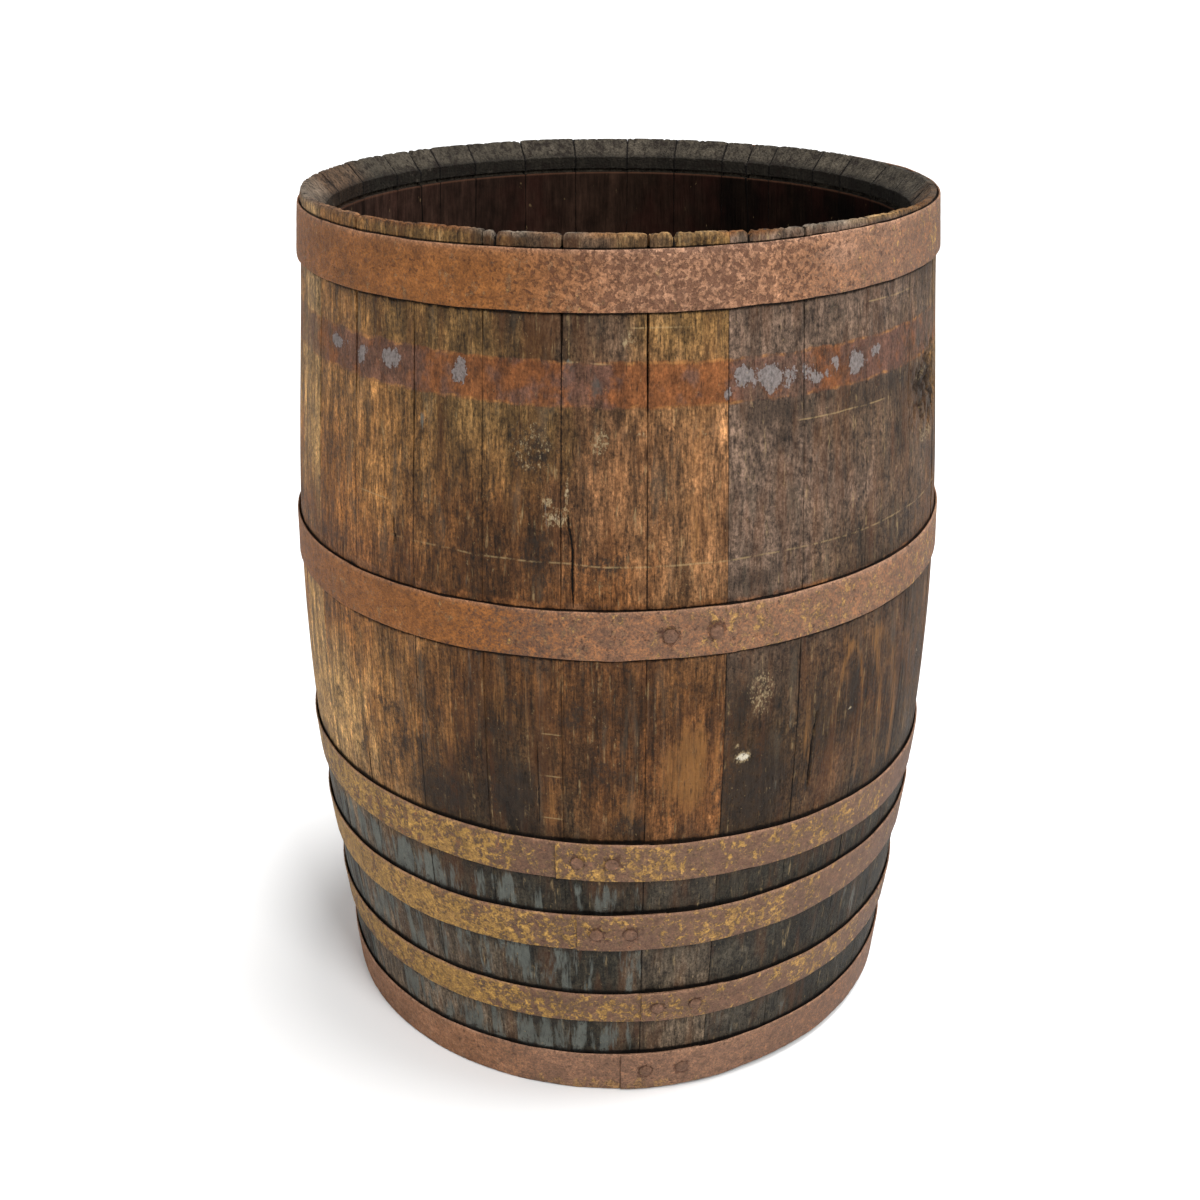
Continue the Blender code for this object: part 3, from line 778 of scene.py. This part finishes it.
def stave_tone(lists, joints, angle, z):
    """Colour and grittiness of a stave's face, given the tones of it and of its neighbours."""
    start, end = joints
    heights = np.array(TONE_HEIGHTS)[::-1]
    shift = 0.02 * noise(angle / 4.0, z * 14, 40, 2)
    faces = []
    for names in lists:
        listed = np.array([[*to_linear(OAK_TONES[name]), 0.9 * (name in GRITTY)] for name in names])
        mixed = [np.interp(z + shift, heights, listed[::-1, channel]) for channel in range(4)]
        faces.append(np.stack(mixed, -1))
    along = (angle - start) / (end - start) + 0.4 * noise(angle / 2.5, z * 20, 33, 3)
    before = drifting(start) * smooth(along, 0.45, -0.45)[..., None]
    after = drifting(end) * smooth(along, 0.55, 1.45)[..., None]
    tone = before * faces[0] + (1 - before - after) * faces[1] + after * faces[2]
    tone[..., :3] *= (1 + 0.12 * noise(angle / 9.0, z * 5, 80, 2))[..., None]
    return tone


def drifting(joint):
    """1 where the colour drifts across a joint, 0 where it changes sharply."""
    return float(min(abs(angle_between(joint, sharp)) for sharp in SHARP_JOINTS) > 1.0)


def colour_round(table, angle, shade):
    """Opaque colour at each angle, from a table of angles and colours, times a shade."""
    turns = [turn for turn, _ in table]
    colours = np.array([to_linear(colour) for _, colour in table])
    mixed = [shade * np.interp(angle, turns, colours[:, channel]) for channel in range(3)]
    return np.stack([*mixed, np.ones_like(mixed[0])], -1)


def inner_tone_and_shade(angle, number):
    """Colour of the inside, with painted shade on the right, a little different on each stave."""
    shade = 1 + 0.35 * lattice(number * 1.3, 2.5, 51)
    return colour_round(INNER_TONES_AND_SHADE, angle_between(angle, 0.0), shade)


def end_tone(angle, depth):
    """Colour of the sawn end and the bevel, and darker in the howel and the croze."""
    around = angle_between(angle, 0.0) + 6 * noise(angle / 5.0, 0.5, 71, 2)
    shade = 1 - (1 - BEVEL_SHADE) * smooth(depth, RIM_WIDTH, RIM_WIDTH + 0.004)
    shade = shade - (BEVEL_SHADE - HOWEL_SHADE) * smooth(depth, BAND_DEPTH - 0.006, BAND_DEPTH)
    shade = shade * (1 + 0.25 * noise(angle / 7.0, 3.5, 72))
    return colour_round([(turn, OAK_TONES[name]) for turn, name in END_TONES], around, shade)


# ---- staves
def stave_section():
    """Points round a stave's section: radius below the outer face, height and kind of face."""
    rows = int(round(HEIGHT / OUTER_ROW))
    outer = [(0.0, HEIGHT * k / rows, "outer") for k in range(rows)]
    end = [(0.0, 0.0)]
    end += [(RIM_WIDTH * k / 3, 0.0) for k in range(1, 4)]
    end += [(RIM_WIDTH + (BAND_DEPTH - RIM_WIDTH) * k / 6, CHIME_HEIGHT * k / 6) for k in range(1, 7)]
    end += [(BAND_DEPTH, CHIME_HEIGHT + (CROZE_START - CHIME_HEIGHT) * k / 3) for k in range(1, 4)]
    end += [(CROZE_DEPTH, CROZE_START), (CROZE_DEPTH, CROZE_START + CROZE_WIDTH)]
    top = [(depth, HEIGHT - z, "end") for depth, z in end]
    bottom = [(depth, z, "end") for depth, z in reversed(end[1:])]
    start = CROZE_START + CROZE_WIDTH
    span = HEIGHT - 2 * start
    levels = [HEIGHT - start - span * k / INNER_ROWS for k in range(INNER_ROWS + 1)]
    inner = [(STAVE_THICKNESS, z, "inner") for z in levels]
    return outer + top + inner + bottom


def sector(node):
    """Start and end angle of a CAD stave."""
    x, y = np.array([v.co[:2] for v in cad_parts[node].data.vertices]).T
    middle = math.atan2(x.mean(), -y.mean())
    turn = np.angle(np.exp(1j * (np.arctan2(x, -y) - middle)))
    return math.degrees(middle + turn.min()), math.degrees(middle + turn.max())


def joint_width(joint, z):
    """Width of the gap at a joint, in metres at each height."""
    width = np.full(np.shape(z), JOINT_GAP)
    for angle, low, high, open_width in OPEN_JOINTS:
        if abs(angle_between(joint, angle)) < 1.0:
            lips = smooth(z, low - 0.02, low + 0.05) * smooth(z, high + 0.02, high - 0.02)
            width = np.maximum(width, open_width * lips)
    return width


def crack_lines(angle, z):
    """Signed distance across to the nearest crack, and that crack's half width."""
    side = np.full(np.broadcast(angle, z).shape, 1.0)
    half = np.zeros(side.shape)
    for low_angle, low, high_angle, high, width in CRACKS:
        along = np.clip((z - low) / (high - low), 0, 1)
        wander = 0.25 * noise(z * 30, 0.0, int(low_angle) + 500)
        centre = low_angle + (high_angle - low_angle) * along + wander
        across = np.radians(angle_between(angle, centre)) * outer_radius(z)
        open_at = smooth(z, low, low + 0.02) * smooth(z, high, high - 0.02)
        near = (np.abs(across) < np.abs(side)) & (open_at > 0)
        side = np.where(near, across, side)
        half = np.where(near, width / 2 * open_at, half)
    return side, half


def stave_relief(number, angle, z):
    """Height of a stave's outer face over the CAD's: bow, grain ridges and rot."""
    around = np.radians(angle) * BILGE_RADIUS
    relief = 0.0004 * noise(around * 25, z * 4, 100 + number, 2)
    relief = relief + 0.00022 * noise(around * 260, z * 9, 200 + number, 2)
    relief = relief - 0.0004 * blobs(MOULD, angle, z) * (1 + noise(around * 300, z * 120, 7, 2))
    centre, height, half_angle, half_height, depth = ROT
    pit = blobs([(centre, height, half_angle, half_height, 1.0)], angle, z)
    tear = smooth(noise(around * 130, z * 150, 900, 3), -0.15, 0.65)
    fibres = 0.3 * noise(around * 60, z * 420, 910, 2)
    return relief - depth * pit * tear * (0.75 + fibres)


def stave_angles(start, end):
    """Column angles across a stave, closer together near its edges."""
    width = math.radians(end - start) * BILGE_RADIUS
    near = [np.degrees(edge / BILGE_RADIUS) for edge in EDGE_COLUMNS]
    inside = np.linspace(start + near[-1], end - near[-1], STAVE_COLUMNS)[1:-1]
    assert width > 4 * EDGE_COLUMNS[-1]
    return np.array([start + n for n in near] + list(inside) + [end - n for n in reversed(near)])


def add_stave(node, number, lists, materials):
    start, end = sector(node)
    section = stave_section()
    depth = np.array([point[0] for point in section])[None, :]
    z = np.array([point[1] for point in section])[None, :]
    kinds = np.array([("outer", "end", "inner").index(point[2]) for point in section])
    angle = stave_angles(start, end)[:, None] + 0 * z

    # Open joints pull the outer edges of the column back from the neighbour; the inner edges meet.
    outward = smooth(depth, 0.012, 0.0)
    for joint, direction in ((start, 1), (end, -1)):
        pull = np.degrees(joint_width(joint, z) / 2 / outer_radius(z)) * outward
        near = smooth(np.abs(angle - joint), 2.5, 0.0)
        angle = angle + direction * pull * near

    across = np.radians(np.minimum(angle - start, end - angle)) * outer_radius(z)
    side, half = crack_lines(angle, z)
    face = smooth(depth, 0.001, 0.0)
    relief = stave_relief(number, angle, z)
    worn = np.where(angle < (start + end) / 2, joint_width(start, z), joint_width(end, z))
    edge_wear = (0.0001 + 0.3 * worn) * np.exp(-across / 0.0012) * (1.2 + noise(z * 60, number, 60, 2))
    groove = 0.003 * smooth(np.abs(side), half + 0.0012, half * 0.5) * (half > 0)
    top_wear = 0.0012 * smooth(z, HEIGHT - 0.006, HEIGHT)
    proud = 0.0002 * lattice(number * 1.7, 0.5, 21)
    radius = outer_radius(z) - depth + face * (relief - edge_wear - groove - top_wear + proud)

    # The upper ends stand a little uneven, chipped at the corners and notched where they split.
    end_share = smooth(z, HEIGHT - 0.06, HEIGHT - 0.002)
    front = 0.5 + 0.5 * np.cos(np.radians(angle))
    uneven = 0.0012 * lattice(number * 2.3, 7.5, 22) - 0.0022 + 0.0082 * front**3
    chips = 0.0013 * smooth(noise(angle * 1.3, depth * 90, 300 + number, 3), 0.1, 1.0)
    corner = (0.0008 + 0.8 * worn) * np.exp(-across / 0.002)
    notch = 0.005 * smooth(np.abs(side), 0.0035, 0.0005) * (half > 0)
    z = z + end_share * (uneven - chips - corner - notch)

    # The feet are worn shorter towards the right.
    foot_wear = 0.0065 * smooth(np.sin(np.radians(angle)), 0.1, 0.6)
    z = z + foot_wear * smooth(z, 0.04, 0.0)

    points = on_barrel(radius, angle, z)
    tone = stave_tone(lists, (start, end), angle, z)
    tone = np.where((kinds == 1)[None, :, None], end_tone(angle, depth), tone)
    tone = np.where((kinds == 2)[None, :, None], inner_tone_and_shade(angle, number), tone)
    turns, heat, cover = np.array(BAND_HEAT).T
    around = angle_between(angle, 0.0)
    band = [blobs(FLAKES, angle, z), np.interp(around, turns, heat), np.interp(around, turns, cover)]
    layers = {
        "tone": tone,
        "marks": stave_marks(angle, z),
        "lines": np.stack([side, half, across], -1),
        "band": np.stack(band, -1),
    }
    made = loft(f"{node}_worn", points, layers, kinds, materials)
    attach(made, "cask")
    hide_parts(node)
    return made


def add_staves():
    materials = [weathered_oak(), end_oak(), inner_oak()]
    nodes = [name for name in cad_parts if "stave" in name]
    order = sorted(nodes, key=lambda node: sector(node)[0] % 360)
    tones = [tone_names(node, number) for number, node in enumerate(order)]
    for number, node in enumerate(order):
        lists = (tones[number - 1], tones[number], tones[(number + 1) % len(order)])
        stave = add_stave(node, number, lists, materials)
        if node == "bung_stave":
            cut_bung_hole(stave)


def cut_bung_hole(stave):
    """Cut the bung's taper out of its stave, a clearance wider than the bung."""
    low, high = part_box("bung")
    centre = (low + high) / 2
    outward = Vector((centre.x, centre.y, 0)).normalized()
    bpy.ops.mesh.primitive_cone_add(
        vertices=48, radius1=BUNG_HOLE_INNER, radius2=BUNG_HOLE_OUTER, depth=BUNG_HOLE_DEPTH
    )
    cutter = bpy.context.object
    cutter.name = "bung_hole_cutter"
    cutter.rotation_mode = "QUATERNION"
    cutter.rotation_quaternion = outward.to_track_quat("Z", "Y")
    cutter.location = centre
    bpy.context.view_layer.update()
    boolean = stave.modifiers.new("bung_hole", "BOOLEAN")
    boolean.object = cutter
    graph = bpy.context.evaluated_depsgraph_get()
    cut = bpy.data.meshes.new_from_object(
        stave.evaluated_get(graph), preserve_all_data_layers=True, depsgraph=graph
    )
    stave.modifiers.clear()
    carry_layers(stave.data, cut)
    stave.data = cut
    bpy.data.objects.remove(cutter)


def carry_layers(source, cut):
    """Give every point of the cut mesh the layers of the nearest point before the cut."""
    tree = KDTree(len(source.vertices))
    for vertex in source.vertices:
        tree.insert(vertex.co, vertex.index)
    tree.balance()
    nearest = np.array([tree.find(vertex.co)[1] for vertex in cut.vertices])
    for name in ("tone", "marks", "lines", "band"):
        old, new = source.attributes[name], cut.attributes[name]
        field, size = ("color", 4) if old.data_type == "FLOAT_COLOR" else ("vector", 3)
        values = np.empty(len(source.vertices) * size)
        old.data.foreach_get(field, values)
        new.data.foreach_set(field, values.reshape(-1, size)[nearest].ravel())


# ---- hoops and rivets
def hoop_edge(hoop, high, angle):
    """Radius of a hoop's inner face at its low or high edge, and that edge's height."""
    z = (hoop.high if high else hoop.low) + hoop.rise * np.sin(np.radians(angle))
    stand_off = hoop.high_off if high else hoop.low_off
    return outer_radius(z) + HOOP_CLEARANCE + stand_off, z


def foot_drop(angle):
    """How far the bottom hoop's worn lower edge hangs under the CAD's, most from front to left."""
    return 0.0012 + 0.0033 * smooth(np.sin(np.radians(angle)), 0.6, 0.1)


def bar_section():
    """Points round the bar: share of its width and of its thickness, with rounded corners."""
    faces = np.linspace(0.03, 0.97, 15)
    outer = [(across, 1.0) for across in faces]
    inner = [(across, 0.0) for across in np.linspace(0.97, 0.03, 5)]
    top = [(0.99, 0.86), (1.0, 0.55), (0.99, 0.14)]
    bottom = [(0.01, 0.14), (0.0, 0.55), (0.01, 0.86)]
    return np.array(outer + top + inner + bottom)


def rust_and_sheen_layer(name, angle, share):
    """The rust layer of a hoop: orange, ochre, pits with painted shade, and bloom with painted sheen and
    highlights, by angle and height on the bar.
    """
    side = angle_between(angle, 0.0)
    centre = smooth(np.abs(angle_between(angle, 10.0)), 34, 8)
    left = smooth(side, -8, -38) * smooth(side, -178, -150)
    right = smooth(side, 15, 50) * smooth(side, 178, 150)
    # pale marks the lit front and right of the hoops, where the bloom adds painted sheen
    pale = smooth(side, -22, 8) * smooth(side, 82, 42)
    slow = noise(angle / 22.0, share * 0.4, len(name), 2)
    if name == "hoop_top_chime":
        orange = 0.95 - 0.6 * right + 0.1 * slow
        ochre = 0.05 + 0.22 * right
        pits_and_shade = 0.35 + 0.75 * centre
        # Bloom, with painted sheen towards the upper edge, over the lit front and as a painted highlight
        # near 11 degrees
        bloom_and_sheen = 0.1 * smooth(share, 0.7, 1.0) + (0.5 - 0.18 * right) * pale
        bloom_and_sheen = bloom_and_sheen + 0.14 * smooth(np.abs(angle_between(angle, 11.0)), 20, 6)
        bloom_and_sheen = bloom_and_sheen + blobs([(37, 0.68, 4, 0.22, 0.35)], angle, share)
    elif name == "hoop_bilge":
        orange = 0.45 + 0.55 * left
        ochre = 0.32 - 0.2 * left + 0.2 * right + 0.12 * centre
        pits_and_shade = 0.3
        bloom_and_sheen = 0.3 * smooth(share, 0.82, 1.0) * smooth(side, 5, 30) + 0.26 * pale
    elif name == "hoop_bottom_chime":
        orange = 0.3 + 0.6 * left
        near_lap = smooth(np.abs(angle_between(angle, 0.0)), 20, 6)
        ochre = 0.05 + 0.65 * near_lap * smooth(share, 0.4, 0.15)
        pits_and_shade = 0.25
        bloom_and_sheen = 0.42 - 0.26 * right
    else:
        orange = 0.15 + 0.35 * left
        # Towards the far right the lower hoops lose ochre and gain pits, painting shade there
        ochre = 0.49 + 0.4 * left - 0.2 * smooth(side, 45, 65)
        pits_and_shade = 0.15 + 0.45 * smooth(side, 45, 65)
        bloom_and_sheen = 0.15 * smooth(share, 0.85, 1.0) + 0.1 * pale
    ochre = ochre + 0.15 * slow
    hoop = HOOPS[name]
    # Dark rings round the rivet heads: pits and painted shadow under the domes
    head_pits_and_shadows = [(hoop.lap_end - hoop.winding * back, 0.5, 1.5, 0.2, 1.8) for back in hoop.rivets]
    pits_and_shade = pits_and_shade + blobs(head_pits_and_shadows, angle, share)
    # A painted highlight along the rounded upper edge of every hoop
    bloom_and_sheen = bloom_and_sheen + 0.45 * smooth(share, 0.955, 0.99)
    shape = np.broadcast(angle, share).shape
    return np.stack([np.broadcast_to(v, shape) for v in (orange, ochre, pits_and_shade, bloom_and_sheen)], -1)


def add_hoop(name, hoop, iron):
    """The lapped strip, a little wavy, with rolled edges and pitted faces."""
    turn_steps = round(360 / HOOP_STEP)
    steps = turn_steps + LAP_STEPS
    stations = int(steps * HOOP_STEP / HOOP_STATION)
    step = np.linspace(0, steps, stations + 1)[:, None]
    section = bar_section()
    share, thick = section[None, :, 0], section[None, :, 1]
    angle = hoop.lap_end + hoop.winding * (step - steps) * HOOP_STEP + 0 * share
    raised = np.clip((step - turn_steps + RAMP_STEPS) / RAMP_STEPS, 0, 1)
    seed = 400 + len(name) * 7
    (low_r, low_z), (high_r, high_z) = (hoop_edge(hoop, high, angle) for high in (False, True))
    if name == "hoop_bottom_chime":
        low_z = np.maximum(low_z - foot_drop(angle), 0.0008)
    around = np.radians(angle) * BILGE_RADIUS
    edge_wave = 0.0005 * noise(around * 28, share * 2 + 9, seed, 2)
    lapped = 0.0012 * smooth(step, turn_steps - 1, turn_steps + 0.3)
    z = low_z + (high_z - low_z) * share + edge_wave + lapped
    radius = low_r + (high_r - low_r) * share
    dents = 0.00022 * noise(around * 14, share * 1.5, seed + 1, 2)
    rust = rust_and_sheen_layer(name, angle, share)
    scale = 0.00016 * noise(around * 340, share * 16, seed + 2, 2)
    pitting = 0.0005 * rust[..., 2] * smooth(noise(around * 170, share * 9, seed + 3, 2), 0.25, 0.95)
    outer = smooth(thick, 0.4, 0.9)
    radius = radius + (HOOP_THICKNESS + LAYER_GAP) * raised + HOOP_THICKNESS * thick
    radius = radius + np.maximum(dents, -0.0002) + outer * (scale - pitting)
    points = on_barrel(radius, angle, z)
    made = loft(f"{name}_rusted", points, {"rust": rust}, np.zeros(len(section)), [iron])
    if hoop.winding > 0:
        made.data.flip_normals()
    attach(made, "cask")
    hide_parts(name)


def add_rivet(name, hoop, back, iron):
    """A hammered rivet: a lumpy domed head on a short shank."""
    angle = hoop.lap_end - hoop.winding * back
    (low_r, low_z), (high_r, high_z) = (hoop_edge(hoop, high, angle) for high in (False, True))
    lean = math.atan2(low_r - high_r, high_z - low_z)
    layers = 2 * HOOP_THICKNESS + LAYER_GAP + RIVET_CLEARANCE
    centre = on_barrel((low_r + high_r) / 2 + layers, angle, (low_z + high_z) / 2)
    place = Matrix.Translation(Vector(centre)) @ Matrix.Rotation(math.radians(angle), 4, "Z")
    place = place @ Matrix.Rotation(math.pi / 2 - lean, 4, "X")
    arc = np.radians(np.linspace(86, 8, 9))
    head = [(RIVET_HEAD_RADIUS * math.cos(a), hoop.dome * math.sin(a)) for a in arc]
    reach = 2 * HOOP_THICKNESS
    outline = head + [(RIVET_HEAD_RADIUS, 0.0), (RIVET_SHANK_RADIUS, 0.0), (RIVET_SHANK_RADIUS, -reach)]
    radius, height = np.array(outline).T[:, :, None]
    turn = np.linspace(0, 2 * np.pi, 33)[None, :-1]
    seed = int(abs(angle) * 10) + len(name)
    lump = 1 + 0.07 * noise(np.cos(turn) * 2 + 3, np.sin(turn) * 2 + height * 300, seed, 2)
    swell = 0.00025 * noise(radius * 500 * np.cos(turn), radius * 500 * np.sin(turn), seed + 1, 2)
    rise = height + swell * (height > 0)
    local = np.stack([radius * lump * np.cos(turn), radius * lump * np.sin(turn), rise], -1)
    flat = local.reshape(-1, 3)
    world = np.array([place @ Vector(p) for p in flat]).reshape(local.shape)
    rust = np.zeros((*world.shape[:2], 4)) + (0.15, 0.1, 0.1, 0.15)
    made = loft(f"{name}_hammered", world, {"rust": rust}, np.zeros(turn.size), [iron])
    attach(made, "cask")
    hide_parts(name)


def add_hoops():
    iron = rusted_iron()
    for name, hoop in HOOPS.items():
        add_hoop(name, hoop, iron)
        for number, back in enumerate(hoop.rivets, start=1):
            add_rivet(f"rivet_{name.removeprefix('hoop_')}_{number}", hoop, back, iron)


# ---- parts that keep their CAD shape
def finish_cad_parts():
    head = board_oak("head_board_oak", (92, 68, 50), (70, 36, 30))
    pale = board_oak("dowel_oak", (150, 116, 80), (120, 84, 56))
    for name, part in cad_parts.items():
        if name.startswith("head_board"):
            finish_with(part, head)
        elif name.startswith("head_dowel") or name == "bung":
            finish_with(part, pale)


def finish_with(part, made):
    part.data.materials.clear()
    part.data.materials.append(made)


# ---- studio
CAMERA_PLACE = (0.0, -1.667, 1.211)
CAMERA_PITCH = 24.41
CAMERA_ROLL = 0.18
CAMERA_LENS = 45.54
CAMERA_SHIFT = -0.0143
FLOOR_SIZE = 120.0
WORLD_LIGHT = 0.68
# Lights: azimuth from the front and elevation in degrees, strength, and angle or size
SUN = (114.0, 74.0, 3.0, 28.0)
FILL = (24.0, 42.0, 66.0, 1.0)
FILL_DISTANCE = 3.2


def add_floor():
    bpy.ops.mesh.primitive_plane_add(size=FLOOR_SIZE)
    floor = bpy.context.object
    floor.name = "floor"
    made = bpy.data.materials.new("pale_floor")
    made.use_nodes = True
    shader = made.node_tree.nodes["Principled BSDF"]
    shader.inputs["Base Color"].default_value = (0.88, 0.88, 0.88, 1.0)
    shader.inputs["Roughness"].default_value = 1.0
    shader.inputs["Specular IOR Level"].default_value = 0.0
    floor.data.materials.append(made)


def add_lights():
    world = bpy.data.worlds.new("studio")
    world.use_nodes = True
    background = world.node_tree.nodes["Background"]
    background.inputs["Color"].default_value = (1.0, 1.0, 1.0, 1.0)
    background.inputs["Strength"].default_value = WORLD_LIGHT
    bpy.context.scene.world = world
    sun = bpy.data.lights.new("window", "SUN")
    azimuth, elevation, sun.energy, width = SUN
    sun.angle = math.radians(width)
    add_light(sun, azimuth, elevation)
    fill = bpy.data.lights.new("softbox", "AREA")
    azimuth, elevation, fill.energy, fill.size = FILL
    add_light(fill, azimuth, elevation)


def add_light(data, azimuth, elevation):
    """Aim a light at the middle of the barrel from the given direction."""
    light = bpy.data.objects.new(data.name, data)
    turn, rise = math.radians(azimuth), math.radians(elevation)
    away = Vector((math.sin(turn) * math.cos(rise), -math.cos(turn) * math.cos(rise), math.sin(rise)))
    light.location = Vector((0, 0, HEIGHT / 2)) + FILL_DISTANCE * away
    light.rotation_euler = away.to_track_quat("Z", "Y").to_euler()
    bpy.context.scene.collection.objects.link(light)


def add_camera():
    data = bpy.data.cameras.new("camera")
    data.lens = CAMERA_LENS
    data.shift_x = CAMERA_SHIFT
    camera = bpy.data.objects.new("camera", data)
    camera.location = CAMERA_PLACE
    tilt = Matrix.Rotation(math.radians(90 - CAMERA_PITCH), 4, "X")
    roll = Matrix.Rotation(math.radians(CAMERA_ROLL), 4, "Z")
    camera.rotation_euler = (tilt @ roll).to_euler()
    bpy.context.scene.collection.objects.link(camera)
    bpy.context.scene.camera = camera
    bpy.context.scene.view_settings.view_transform = "Standard"


add_staves()
add_hoops()
finish_cad_parts()
add_floor()
add_lights()
add_camera()
